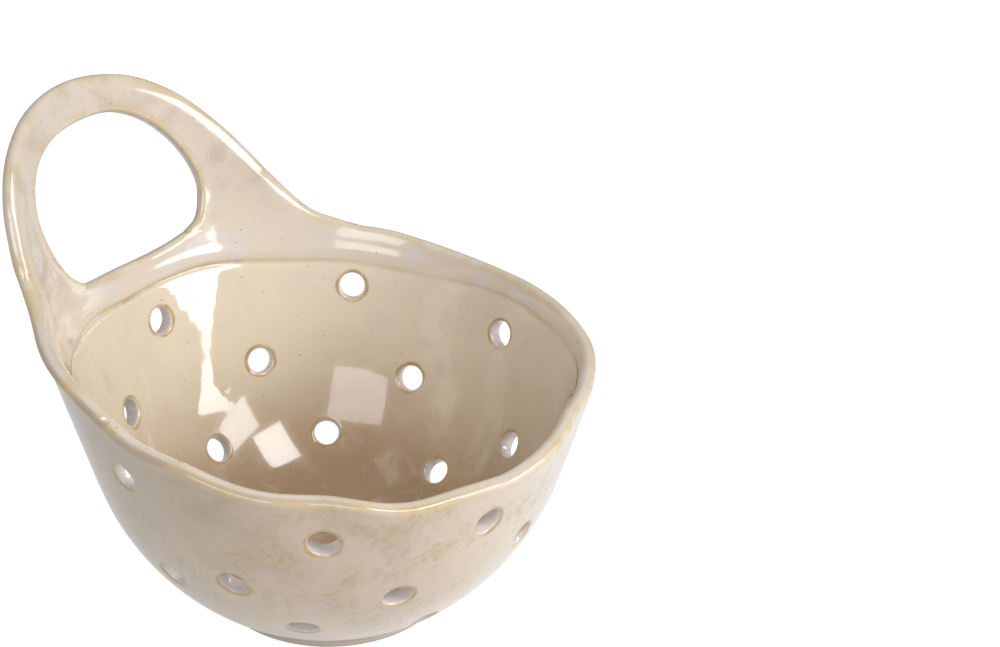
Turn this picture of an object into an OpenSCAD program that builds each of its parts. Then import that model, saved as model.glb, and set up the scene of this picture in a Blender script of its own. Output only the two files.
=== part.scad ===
// Berry colander bowl in glazed stoneware: a drilled bowl, a luted collar and a loop handle.
// The rest plane is z = 0 and the handle stands toward +Y.
// A turn is an angle clockwise from the handle, seen from above.

/* [Bowl] */
// Outer width of the bowl at the seam under the collar
bowl_d = 161; // [150:1:185]
// Height of the seam above the rest plane, on the bowl's axis
seam_h = 76.5; // [70:0.5:90]
// Thickness of the wall
wall_t = 5; // [4:0.5:6.5]
// Radius of the belly's outer curve
belly_r = 85; // [84:1:96]
// Height at which the curve runs out into the straight flare
flare_h = 52; // [45:1:56]
// Lean of the flared wall away from upright
flare_angle = 15; // [12:1:18]

/* [Foot and floor] */
// Height of the foot ring
foot_h = 3; // [2:0.5:6]
// Width of the foot ring's band
foot_w = 6; // [4:0.5:9]
// Bevel round the outside of the foot ring
foot_bevel = 0.8; // [0.4:0.1:1.5]
// Thickness of the floor slab
floor_t = 5; // [4:0.5:7]

/* [Drain holes] */
// Bore of each drain hole
hole_d = 9; // [6:0.5:10]
// Number of floor holes round the middle one
floor_holes = 6; // [4:1:7]

/* [Collar and lip] */
// Height from the seam to the seat of the handle
collar_h = 13.5; // [10:0.5:18]
// Thickness of the lip
lip_t = 4; // [3.5:0.1:5]
// Slant of the seam, which climbs toward the handle
slant_angle = 3.2; // [0:0.2:5]
// Depth of the thumb pinches in the lip
pinch_depth = 2.2; // [0:0.1:3.5]
// Dip of the lip between the feet of the handle
sill_dip = 3; // [0:0.5:6]

/* [Handle] */
// Height of the handle above its seat on the collar
handle_h = 57.8; // [45:0.1:75]
// Turn from the middle of the handle to the far end of its left foot
handle_angle = 79; // [72:1:84]
// Thickness of the strap
strap_t = 5.6; // [4.5:0.1:6.5]
// Height above the seat over which the handle flattens
flatten_h = 18; // [15:1:40]
// Height above the seat over which the lip's thickness grows to the strap's
thicken_h = 20; // [10:1:30]

/* [Hidden] */
$fn = 96;
cut = 1;
full_angle = 360;
right_angle = 90;

// The flare and the belly, seen in a half section: x is the radius
flare_slope = tan(flare_angle);
flare_wall = wall_t / cos(flare_angle);
flare_lip = lip_t / cos(flare_angle);
function flare_r(z) = bowl_d / 2 + flare_slope * (z - seam_h);
belly_x = flare_r(flare_h) - belly_r * cos(flare_angle);
belly_z = flare_h + belly_r * sin(flare_angle);
function belly_at(z, inset) = belly_x + sqrt(pow(belly_r - inset, 2) - pow(belly_z - z, 2));

// The foot ring carries the floor slab and the wall
floor_top = foot_h + floor_t;
floor_r = belly_at(floor_top, wall_t);
foot_r = belly_at(foot_h, 0);
floor_ring_share = 0.6;

// The slanted seam: it is highest at slant_heading_angle
slant_heading_angle = -30;
slant_slope = tan(slant_angle);

// Drain holes of the wall in three rows, the lowest first: the height of the row as a share
// of the seam height, then each hole's turn and its own lift as a share of the bore
hole_row_share = [0.285, 0.57, 0.89];
hole_places = [
    [[-84, 1.75], [-38, 0.3], [9, 0.1], [51, -0.1], [99, -0.5], [150, 0.45], [203, -0.2], [241, 0.5]],
    [[-104, 0.2], [-56, 0.4], [-18, 0.4], [32, 0.1], [78, -0.3], [124, -0.65], [180, 0.5], [217, -0.15]],
    [[-80, 0.5], [-42, -1.35], [3, -0.15], [59, 0.15], [105, 0], [152, 0.5], [197, -0.25], [235, -0.1]]
];

// Height of the lip over the seam as shares of the collar's height, one for each lip_step_angle
// of turn, from the handle clockwise round the bowl
lip_step_angle = 20;
lip_lift_share = [
    1, 1, 1, 0.97, 0.87, 0.83, 0.87, 0.77, 0.69,
    0.39, 0.3, 0.28, 0.39, 0.67, 0.95, 1, 1, 1
];
// Thumb pinches: the turn of each, its half width and its push as a share of pinch_depth
pinches = [[236, 7, -1], [222, 9, 0.4], [166, 6, -0.55], [138, 13, 0.68]];

// Half outlines of the handle from its right foot over the top to its left foot: turns as
// shares of handle_angle and heights as shares of handle_h
opening_shares = [
    [0.215, 0], [0.257, 0.067], [0.282, 0.157], [0.295, 0.261], [0.272, 0.395], [0.222, 0.543],
    [0.147, 0.677], [0.052, 0.765], [-0.056, 0.778], [-0.159, 0.749], [-0.241, 0.673], [-0.297, 0.559],
    [-0.328, 0.403], [-0.318, 0.243], [-0.287, 0.116], [-0.248, 0.036], [-0.209, 0]
];
outline_shares = [
    [0.759, 0], [0.693, 0.021], [0.613, 0.081], [0.544, 0.259], [0.469, 0.421], [0.381, 0.594],
    [0.262, 0.794], [0.123, 0.936], [-0.044, 1], [-0.199, 0.932], [-0.325, 0.775], [-0.415, 0.573],
    [-0.466, 0.374], [-0.504, 0.213], [-0.595, 0.119], [-0.81, 0.086], [-1, 0]
];
// How much less the handle bends than the bowl
flatten_share = 0.36;
outline_steps = 3;
lip_points = 5;
collar_steps = 90;
strap_places = 7;
belly_steps = 12;
ramp_angle = 3;

// Smooth value at place t of a list, through its neighbours p to s
function smooth(p, q, r, s, t) =
    q + (r - p) * t / 2
    + (2 * p - 5 * q + 4 * r - s) * t * t / 2
    + (3 * q - p - 3 * r + s) * t * t * t / 2;
function held(list, i) = list[max(0, min(len(list) - 1, i))];
function along(list, place) =
    let (i = floor(place), t = place - i)
    smooth(held(list, i - 1), held(list, i), held(list, i + 1), held(list, i + 2), t);
function around(list, turn) =
    let (n = len(list), place = turn / lip_step_angle, i = floor(place), t = place - i)
    smooth(list[(i - 1 + n) % n], list[i % n], list[(i + 1) % n], list[(i + 2) % n], t);
function wrap(turn) = turn - full_angle * floor(turn / full_angle);
function away(turn, from) = let (d = wrap(turn - from)) min(d, full_angle - d);

// Point at a turn, at a lift over the slanted seam, moved outward from the flare
function flare_point(turn, lift, out) =
    let (
        tilt = slant_slope * cos(turn - slant_heading_angle),
        rise = (lift + tilt * (bowl_d / 2 + out)) / (1 - flare_slope * tilt),
        r = bowl_d / 2 + flare_slope * rise + out
    )
    [r * sin(turn), r * cos(turn), seam_h + rise];

// The same point on the handle, which bends less than the bowl above its seat
function handle_point(turn, lift, out) =
    let (
        p = flare_point(turn, collar_h + lift, out),
        part = min(1, max(0, lift / flatten_h)),
        r = norm([p.x, p.y])
    )
    p + [0, flatten_share * part * part * (3 - 2 * part) * r * (1 - cos(turn)), 0];

// A closed skin through rings of equal length, whose ends are capped unless the rings join up
module skin(rings, joined) {
    m = len(rings[0]);
    n = len(rings);
    spans = joined ? n : n - 1;
    sides = [
        for (i = [0 : spans - 1], j = [0 : m - 1])
            let (k = (i + 1) % n, l = (j + 1) % m)
            each [[i * m + j, k * m + j, k * m + l], [i * m + j, k * m + l, i * m + l]]
    ];
    half = m / 2;
    cap = concat(
        [for (j = [0 : half - 2]) [j, j + 1, m - 1 - j]],
        [for (j = [1 : half - 1]) [j, m - 1 - j, m - j]]
    );
    first = cap;
    last = [for (f = cap) [for (j = [2 : -1 : 0]) (n - 1) * m + f[j]]];
    polyhedron([for (ring = rings) each ring], joined ? sides : concat(sides, first, last), convexity = 8);
}

// Points of the bowl's half section from a height up to its top, inset from the outside
function bowl_line(inset, bottom, top) =
    let (
        r = belly_r - inset,
        a0 = asin((belly_z - bottom) / r),
        side = inset / cos(flare_angle)
    )
    concat(
        [for (i = [0 : belly_steps])
            let (a = a0 + (flare_angle - a0) * i / belly_steps)
            [belly_x + r * cos(a), belly_z - r * sin(a)]],
        [[flare_r(top) - side, top]]
    );

module foot_ring() {
    color("tan")
    rotate_extrude()
    polygon([
        [foot_r - foot_w, 0],
        [foot_r - foot_bevel, 0],
        [foot_r, foot_bevel],
        [foot_r, foot_h],
        [foot_r - foot_w, foot_h]
    ]);
}

module bowl_floor() {
    color("burlywood")
    difference() {
        translate([0, 0, foot_h]) cylinder(r = floor_r, h = floor_t);
        translate([0, 0, foot_h - cut]) cylinder(d = hole_d, h = floor_t + 2 * cut);
        for (i = [0 : floor_holes - 1])
            rotate(i * full_angle / floor_holes)
            translate([floor_ring_share * floor_r, 0, foot_h - cut])
            cylinder(d = hole_d, h = floor_t + 2 * cut);
    }
}

// One drain bore, square to the wall where it goes through
module drain_bore(turn, z) {
    lean = max(flare_angle, asin((belly_z - z) / belly_r));
    r = z > flare_h ? flare_r(z) - flare_wall / 2 : belly_at(z, wall_t / 2);
    rotate(right_angle - turn)
    translate([r, 0, z])
    rotate([0, right_angle + lean, 0])
    cylinder(d = hole_d, h = 3 * wall_t, center = true);
}

module bowl_wall() {
    top = seam_h + slant_slope * bowl_d;
    inside = bowl_line(wall_t, floor_top, top);
    color("wheat")
    difference() {
        rotate_extrude()
        polygon(concat(
            [[floor_r, foot_h]],
            bowl_line(0, foot_h, top),
            [for (i = [len(inside) - 1 : -1 : 0]) inside[i]]
        ));
        translate([0, 0, seam_h])
        rotate(a = slant_angle, v = [cos(slant_heading_angle), -sin(slant_heading_angle), 0])
        translate([0, 0, bowl_d / 2])
        cube([2 * bowl_d, 2 * bowl_d, bowl_d], center = true);
        for (row = [0 : len(hole_places) - 1], place = hole_places[row])
            drain_bore(
                place[0],
                seam_h * hole_row_share[row] + hole_d * place[1]
                    + slant_slope * bowl_d / 2 * cos(place[0] - slant_heading_angle) * hole_row_share[row]
            );
    }
}

// The lip is flat where a foot of the handle sits on it and round elsewhere
foot_turns = [
    [handle_angle * opening_shares[0][0], handle_angle * outline_shares[0][0]],
    [-handle_angle, handle_angle * opening_shares[len(opening_shares) - 1][0]]
];
function under_foot(turn) =
    max([for (f = foot_turns)
        let (half = (f[1] - f[0]) / 2)
        min(1, max(0, (half + ramp_angle - away(turn, (f[0] + f[1]) / 2)) / ramp_angle))
    ]);

// Height of the lip over the seam, which is level with the seat under each foot and dips
// between the feet
sill = [foot_turns[1][1], foot_turns[0][0]];
function sill_bump(turn) =
    let (half = (sill[1] - sill[0]) / 2, u = min(1, away(turn, (sill[0] + sill[1]) / 2) / half))
    pow(1 - u * u, 2);
function lip_lift(turn) =
    let (seated = under_foot(turn))
    collar_h * (seated + (1 - seated) * around(lip_lift_share, turn)) - sill_dip * sill_bump(turn);

function push(turn) = pinch_depth * (
    [for (p = pinches) p[2] * exp(-pow(away(turn, p[0]) / p[1], 2))] * [for (p = pinches) 1]
);

function collar_ring(turn) =
    let (
        lift = lip_lift(turn),
        half = flare_lip / 2,
        round_by = half * (1 - under_foot(turn)),
        out = push(turn),
        mid = out - half
    )
    concat(
        [flare_point(turn, 0, 0), flare_point(turn, (lift - round_by) / 2, out / 2)],
        [for (i = [0 : lip_points + 1])
            let (a = i * 2 * right_angle / (lip_points + 1))
            flare_point(turn, lift - round_by * (1 - sin(a)), mid + half * cos(a))],
        [
            flare_point(turn, (lift - round_by) / 2, (mid - half - flare_wall) / 2),
            flare_point(turn, 0, -flare_wall)
        ]
    );

module rim_collar() {
    color("antiquewhite")
    skin([for (i = [0 : collar_steps - 1]) collar_ring(i * full_angle / collar_steps)], true);
}

// Thickness of the strap at a lift over the seat, where it is as thick as the lip
function strap_at(lift) =
    let (part = min(1, max(0, lift / thicken_h)))
    flare_lip + (strap_t / cos(flare_angle) - flare_lip) * part * part * (3 - 2 * part);

// Section of the strap between the opening and the outline, thin at both edges
function strap_ring(place) =
    let (
        a = along(opening_shares, place),
        b = along(outline_shares, place),
        wide = norm([
            (b[0] - a[0]) * handle_angle * bowl_d * PI / full_angle,
            (b[1] - a[1]) * handle_h
        ]),
        edge = min(1 / 4, strap_t / 2 / wide),
        shares = concat(
            [0, edge / 4, edge],
            [for (i = [1 : strap_places - 1]) edge + (1 - 2 * edge) * i / strap_places],
            [1 - edge, 1 - edge / 4, 1]
        ),
        last = len(shares) - 1,
        half = [for (s = shares) let (d = min(1, s / edge, (1 - s) / edge)) sqrt(1 - pow(1 - d, 2))],
        spot = [for (s = shares) let (p = a + (b - a) * s) [handle_angle * p[0], handle_h * p[1]]],
        mid = [for (p = spot) strap_at(p[1]) / 2]
    )
    concat(
        [for (i = [0 : last]) handle_point(spot[i][0], spot[i][1], (half[i] - 1) * mid[i])],
        [for (i = [last - 1 : -1 : 1]) handle_point(spot[i][0], spot[i][1], (-half[i] - 1) * mid[i])]
    );

module handle_loop() {
    stations = outline_steps * (len(opening_shares) - 1);
    color("antiquewhite")
    skin([for (i = [stations : -1 : 0]) strap_ring(i / outline_steps)], false);
}

foot_ring();
bowl_floor();
bowl_wall();
rim_collar();
handle_loop();
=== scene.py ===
import math

import bmesh
import bpy
import numpy as np
from mathutils import Matrix, Vector


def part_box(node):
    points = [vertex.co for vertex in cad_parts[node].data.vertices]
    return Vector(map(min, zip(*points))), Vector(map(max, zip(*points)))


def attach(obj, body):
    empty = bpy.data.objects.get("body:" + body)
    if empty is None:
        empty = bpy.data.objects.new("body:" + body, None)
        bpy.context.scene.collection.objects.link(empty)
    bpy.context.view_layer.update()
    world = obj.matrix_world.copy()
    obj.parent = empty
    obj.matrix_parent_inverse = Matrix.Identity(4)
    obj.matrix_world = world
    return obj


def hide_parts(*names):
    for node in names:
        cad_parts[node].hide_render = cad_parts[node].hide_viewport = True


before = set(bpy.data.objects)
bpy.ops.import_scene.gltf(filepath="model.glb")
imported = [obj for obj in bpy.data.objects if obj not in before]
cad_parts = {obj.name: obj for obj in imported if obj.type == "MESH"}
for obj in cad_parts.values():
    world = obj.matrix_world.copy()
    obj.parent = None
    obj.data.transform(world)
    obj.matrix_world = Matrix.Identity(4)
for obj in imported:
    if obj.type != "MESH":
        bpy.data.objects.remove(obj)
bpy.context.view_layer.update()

bl_info = {
    "name": "Berry Colander Bowl",
    "version": (1, 0, 0),
    "blender": (4, 5, 0),
    "location": "View3D > Sidebar > Stoneware",
    "description": "A drilled stoneware bowl with a luted collar and a loop handle, under a glossy glaze",
    "category": "Add Mesh",
}

# The tables below give millimetres and degrees. A turn runs clockwise from the handle, seen
# from above, and a height is over the rest plane where no other start is named
MM = 0.001

# Top of the collar away from the handle
LIP = [
    (60, 89.5), (66.5, 88.9), (76.6, 86.9), (86.5, 85.4), (98, 84.6), (110, 84.6), (122, 84.3),
    (133, 83.3), (147, 82.2), (160, 81.4), (170, 80.9), (176, 78.6), (188, 76.6), (193, 76.4),
    (198, 77.4), (205, 78.2), (210, 78), (215, 77.8), (221, 79), (227, 80.9), (232, 81.5), (237, 81.4),
    (243, 82.2), (249, 83.3), (256, 85.4), (262, 87.8), (266, 88.5), (270, 88.9), (276, 90.2),
    (281, 93.2)
]
# Bottom of the handle's opening
SILL = [(-16.5, 93.6), (-11, 92.3), (-4, 91.4), (2, 91), (8, 91.3), (13, 92.3), (17, 93.9)]
# Joint of the collar and the bowl, as it shows inside
SEAM = [
    (-30, 84.6), (-19, 84), (-4, 82), (7, 82.2), (23, 82), (32, 80.5), (43, 79.1), (53, 78.5),
    (69, 76.8), (80, 76.2), (94, 77.4), (106, 78.2), (118, 78), (136, 77.8), (147, 77.3), (165, 75.3),
    (185, 72.8), (205, 73.5), (220, 74), (236, 77), (250, 80), (265, 84), (280, 88), (300, 87.4)
]
# Pairs across the handle from its right foot over the top to its left foot: the turn and
# height of its opening, then of its outline
STRAP = [
    (17, 93.9, 60, 89.7), (20.3, 96.9, 54.8, 91.6), (22.3, 102, 48.4, 95.6),
    (23.3, 108, 43, 106.4), (21.5, 115.9, 37, 116.2), (17.5, 124.9, 30.1, 126.8),
    (11.6, 133.1, 20.7, 139.2), (4.1, 138.6, 9.7, 148.3), (-4.4, 139.8, -3.5, 152.2),
    (-12.6, 138.4, -15.7, 149.1), (-19, 134.1, -25.7, 140.1), (-23.5, 127.4, -32.8, 128.3),
    (-25.9, 118.3, -36.8, 116.6), (-25.1, 108.8, -39.8, 107.1), (-22.7, 101.4, -47, 101.5),
    (-19.6, 96.7, -64, 98.9), (-16.5, 93.6, -79, 93.2)
]
# Drain holes of the wall: the turn and the height of each on the outside
HOLES = [
    (3.3, 69.2), (58.9, 68.8), (105, 64.6), (152, 68), (197.2, 62.3), (234.7, 66), (279.7, 74.7),
    (318, 59), (-18.4, 49), (31.6, 44.9), (78.3, 39.1), (123.8, 34.4), (180.5, 45.1),
    (217.3, 40.3), (256, 45.3), (303.5, 48.5), (8.9, 21.9), (51.2, 19.6), (99.3, 14.8), (150, 23),
    (202.9, 17.5), (241, 25), (276.1, 37.2), (322, 24)
]
# Thumb marks in the lip: the turn, half width, outward push and reach down the wall of each
THUMBS = [(236, 7, -2.2, 24), (222, 9, 1, 22), (166, 6, -1.2, 20), (138, 13, 1.5, 26)]
# Turn at which the seam's plane is highest
HIGH_TURN = -30
# Marks at the seam inside: their share left of the handle and the turns over which they grow
MARKS_LEFT, MARKS_GROW = 0.2, (-46, -28)
# Groove: the turns over which it softens and at which it is sharp again, its half widths sharp
# and soft, and the share of its depth that stays where it is soft
GROOVE_SOFTENS, SHARP_AGAIN = (5, 60), 175
GROOVE_WIDTHS, SOFT_DEPTH = (0.75, 2.65), 0.35
# Ledge: heights over the seam at which it rises and falls
LEDGE_RISES, LEDGE_FALLS = (0, 1.2), (6.6, 4)
# Swell under the seam: middle turn and half width, and heights at which it rises and falls
SWELL_TURN, SWELL_HALF = 14, 30
SWELL_RISES, SWELL_FALLS = (12, 48), (80, 60)
# Strap's evened face: heights over the seat and distances from an edge at which it starts
FACE_RISES, FACE_IN = (0, 4), (2, 7)
# Smoothed dent inside, beside the handle: height, and the turns of its left and right side,
# then the softness of its sides in degrees and of its foot, and its end under the seam
DENT = [
    (31, 5, 20), (36, 7, 17), (41, 10, 15.5), (50, 12, 17), (60, 14, 19), (64, 12.5, 19.5),
    (79, 6.5, 23.5)
]
DENT_SOFT, DENT_FOOT, DENT_END = 1, 4, 1.4
RIGHT_FOOT = (STRAP[0][0], STRAP[0][2])
LEFT_FOOT = (STRAP[-1][2], STRAP[-1][0])
# Edge lines that bound the sheet from outside, without the opening's
OUTLINE_LINES = slice(0, 3)
# Steps of the edge lines along the handle, the lip and the sill, and the turn to which the
# lip's two lines overlap on the far side
HANDLE_STEPS, LIP_STEPS, SILL_STEPS = 12, 120, 32
LIP_END = 200

# Mesh rows: distances from the seam and from a rounded edge, the height of collar under which
# they close up, and the even rows between them on the collar and on the handle
SEAM_ROWS = [0, 0.35, 0.75, 1.3, 2.1]
EDGE_ROWS = [0, 0.12, 0.4, 0.8, 1.3, 1.9, 2.6, 3.6]
ROOM_FOR_ROWS, COLLAR_ROWS, STRAP_ROWS = 9, 7, 36
# Mesh steps along each stretch of the handle and round the foot
STRAP_STEPS, FOOT_STEPS = 6, 120
# Turn at which the bowl's sheet is open until it is rolled up, clear of every drain hole
OPEN_TURN = 41.25
# Cells that a hole takes out of the mesh, their growth from ring to ring, and those rings
WALL_BLOCK, WALL_GROW = (3, 3), (1, 1)
FLOOR_BLOCK, FLOOR_GROW = (8, 3), (3, 1)
DRILL_RINGS = 3
# Turn of the first floor hole
FLOOR_TURN = 75
# Values that each mesh point keeps until the sheet is shaped
SAVED = ("turn", "rise", "side", "joint")
# Thickness that tells the flat sheet's two sides apart, and the distance that joins points
SHEET_T, MERGE = 0.01, 0.01 * MM
# How far from an edge and from the seam the glaze follows them, and the distances from a
# drain hole's middle between which its marks fade
EDGE_REACH, SEAM_REACH, HOLE_REACH = 12, 20, (8, 11)
DOWN = np.array((0.0, 0, -1))

# The photograph's camera
CAMERA_PLACE = (-392.4, -296.4, 356.7)
CAMERA_HEADING, CAMERA_DIP, CAMERA_TILT = math.radians(59), math.radians(28), math.radians(2.36)
CAMERA_LENS, CAMERA_SENSOR = 65.17, 36
# Soft lamps, in metres and watts: name, place, target, width, height and power
LAMPS = [
    ("window_lamp", (0.26, -0.84, 0.455), (0, 0, 0.06), 0.55, 0.4, 3.9),
    ("near_lamp", (-0.835, -0.304, 0.575), (0, 0, 0.06), 0.56, 0.46, 2.2),
    ("high_lamp", (-0.05, -0.6, 0.73), (0, 0, 0.05), 0.3, 0.33, 2.4),
]
# Strength of the world's light, and the floor's grey, its glow to the camera and the share of
# that glow which shows in the glaze
WORLD_LIGHT = 0.49
FLOOR_GREY, FLOOR_GLOW, GLOW_IN_GLAZE = 0.65, 0.8, 0.42


def length(name, millimetres, text):
    """A length that the panel shows in the scene's unit."""
    return bpy.props.FloatProperty(
        name=name, description=text, default=millimetres * MM, min=0, unit="LENGTH", precision=5
    )


def angle(name, degrees, text):
    """An angle that the panel shows in degrees."""
    return bpy.props.FloatProperty(
        name=name, description=text, default=math.radians(degrees), subtype="ANGLE", unit="ROTATION"
    )


def share(name, value, text):
    """A plain share of one."""
    return bpy.props.FloatProperty(name=name, description=text, default=value, min=0, max=1)


def colour(name, value, text):
    """A linear colour that the panel shows as a swatch."""
    return bpy.props.FloatVectorProperty(
        name=name, description=text, default=value, min=0, max=1, size=3, subtype="COLOR"
    )


class ColanderSizes(bpy.types.PropertyGroup):
    seam_r: length("Seam radius", 80.5, "Outer radius of the bowl where the collar starts")
    seam_z: length("Seam height", 76.5, "Height at which the seam radius is measured")
    slant: length("Seam slant", 4.6, "How far the seam's plane climbs to its highest side")
    belly_r: length("Belly radius", 85, "Radius of the belly's outer curve")
    flare_z: length("Flare height", 52, "Height where the curve runs out into the straight flare")
    flare_lean: angle("Flare lean", 15, "Lean of the flared wall away from upright")
    foot_z: length("Foot height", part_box("foot_ring")[1][2] / MM, "Height of the bare foot ring")
    foot_w: length("Foot width", 6, "Width of the foot ring's band")
    foot_round: length("Foot rounding", 0.9, "Rounding of the foot ring's edges")
    wall: length("Wall", 5, "Thickness of the wall and the floor")
    cove: length("Cove", 8, "Height over which the floor curves up into the wall")
    floor_blend: length("Floor blend", 15, "Width over which the floor's inside meets the wall's")
    lip: length("Lip", 4, "Thickness of the lip")
    strap: length("Strap", 5.6, "Thickness of the handle")
    edge_round: length("Edge rounding", 1.5, "Rounding of the lip's and the handle's edges")
    hole: length("Drain hole", 9, "Bore of each drain hole")
    hole_round: length("Hole rounding", 0.9, "Rounding of the drain holes' edges")
    floor_ring: length("Floor ring", 20.4, "Radius of the ring of floor holes")
    floor_holes: bpy.props.IntProperty(
        name="Floor holes", description="Holes round the middle one", default=6
    )
    seat_h: length("Seat height", 13.5, "Height of the handle's seat over the seam's plane")
    flatten_h: length("Flattening height", 18, "Height over which the handle flattens")
    flatten: share("Flattening", 0.36, "How much less the handle bends than the bowl")
    thin_h: length("Thinning height", 18, "Height over which the wall thins to the lip")
    thicken_h: length("Thickening height", 20, "Height over which the lip thickens to the strap")
    taper: share("Taper", 0.38, "How much the strap thins outward")
    taper_w: length("Taper width", 11, "Width over which the strap thins outward")
    lip_taper: share("Lip taper", 0.25, "How much the lip thins inside")
    lip_taper_w: length("Lip taper width", 4, "Width over which the lip thins inside")
    face_lean: angle("Face lean", 12, "Lean of the strap's smoothed inner face")
    dent_tilt: angle("Dent tilt", 9.5, "Upward tilt of the smoothed dent beside the handle")
    groove: length("Seam groove", 0.75, "Depth of the groove at the seam, inside")
    ledge: length("Seam ledge", 0.16, "How far the collar stands proud inside, just above the seam")
    swell: length("Swell", 0.55, "Swell of the inside below the seam, near the handle")
    wobble: length("Wobble", 0.12, "How far the hand-thrown wall strays from round")
    pitch: length("Grid pitch", 1.5, "Spacing of the mesh rows on the wall")
    columns: bpy.props.IntProperty(name="Columns", description="Mesh columns round the bowl", default=240)


class ColanderColours(bpy.types.PropertyGroup):
    # Cream is the even glaze inside, and also the painted light on the outside's right side
    cream_and_light: colour("Cream", (0.83, 0.73, 0.59), "Glaze where it lies evenly inside")
    blush: colour("Blush", (0.75, 0.65, 0.56), "Pinkish glaze of the collar and the handle")
    bisque: colour("Bisque", (0.68, 0.53, 0.41), "Glaze of the outside")
    # Pool is the brown of glaze pooled at the floor, and also painted shade in the bowl's bottom
    pool: colour("Pool", (0.40, 0.25, 0.12), "Glaze that pools near the floor")
    olive: colour("Olive", (0.40, 0.33, 0.20), "Fine olive mottling of the outside")
    # Mist is grey-tan clouds in the glaze, and also the painted shade on the inside at the right and on the
    # outside at the left
    mist_and_shade: colour("Mist", (0.42, 0.33, 0.235), "Grey-tan clouds")
    lilac: colour("Lilac", (0.76, 0.70, 0.69), "Thick bluish-white glaze")
    straw: colour("Straw", (0.66, 0.52, 0.27), "Straw yellow where the glaze thins")
    amber: colour("Amber", (0.44, 0.27, 0.08), "Amber round the drain holes")
    rust: colour("Rust", (0.46, 0.24, 0.08), "Iron where the glaze is thinnest")
    stone: colour("Stone", (0.27, 0.20, 0.13), "Dark specks in the glaze")
    clay: colour("Clay", (0.47, 0.36, 0.25), "Bare clay of the foot")


def smoothstep(t):
    t = np.clip(t, 0, 1)
    return t * t * (3 - 2 * t)


def ramp(x, low, high):
    """0 at low, 1 at high and smooth between them."""
    return smoothstep((x - low) / (high - low))


def smooth_line(points, x, period=None):
    """Values at x of a smooth curve through (x, value) points, which may repeat."""
    xs, ys = np.array(points, float).T
    x = np.asarray(x, float)
    if period:
        x = (x - xs[0]) % period + xs[0]
        xs = np.concatenate([xs[-2:] - period, xs, xs[:2] + period])
        ys = np.concatenate([ys[-2:], ys, ys[:2]])
    slope = np.gradient(ys, xs)
    k = np.clip(np.searchsorted(xs, x, side="right") - 1, 0, len(xs) - 2)
    h = xs[k + 1] - xs[k]
    t = (x - xs[k]) / h
    return (
        (2 * t ** 3 - 3 * t ** 2 + 1) * ys[k] + (t ** 3 - 2 * t ** 2 + t) * h * slope[k]
        + (3 * t ** 2 - 2 * t ** 3) * ys[k + 1] + (t ** 3 - t ** 2) * h * slope[k + 1]
    )


def near_zero(turn):
    """The same turn between -180 and 180 degrees."""
    return (np.asarray(turn, float) + 180) % 360 - 180


def around(turn, r, z):
    """Points at a turn, a radius and a height."""
    a = np.radians(turn)
    return np.stack([r * np.sin(a), r * np.cos(a), z], -1)


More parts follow.
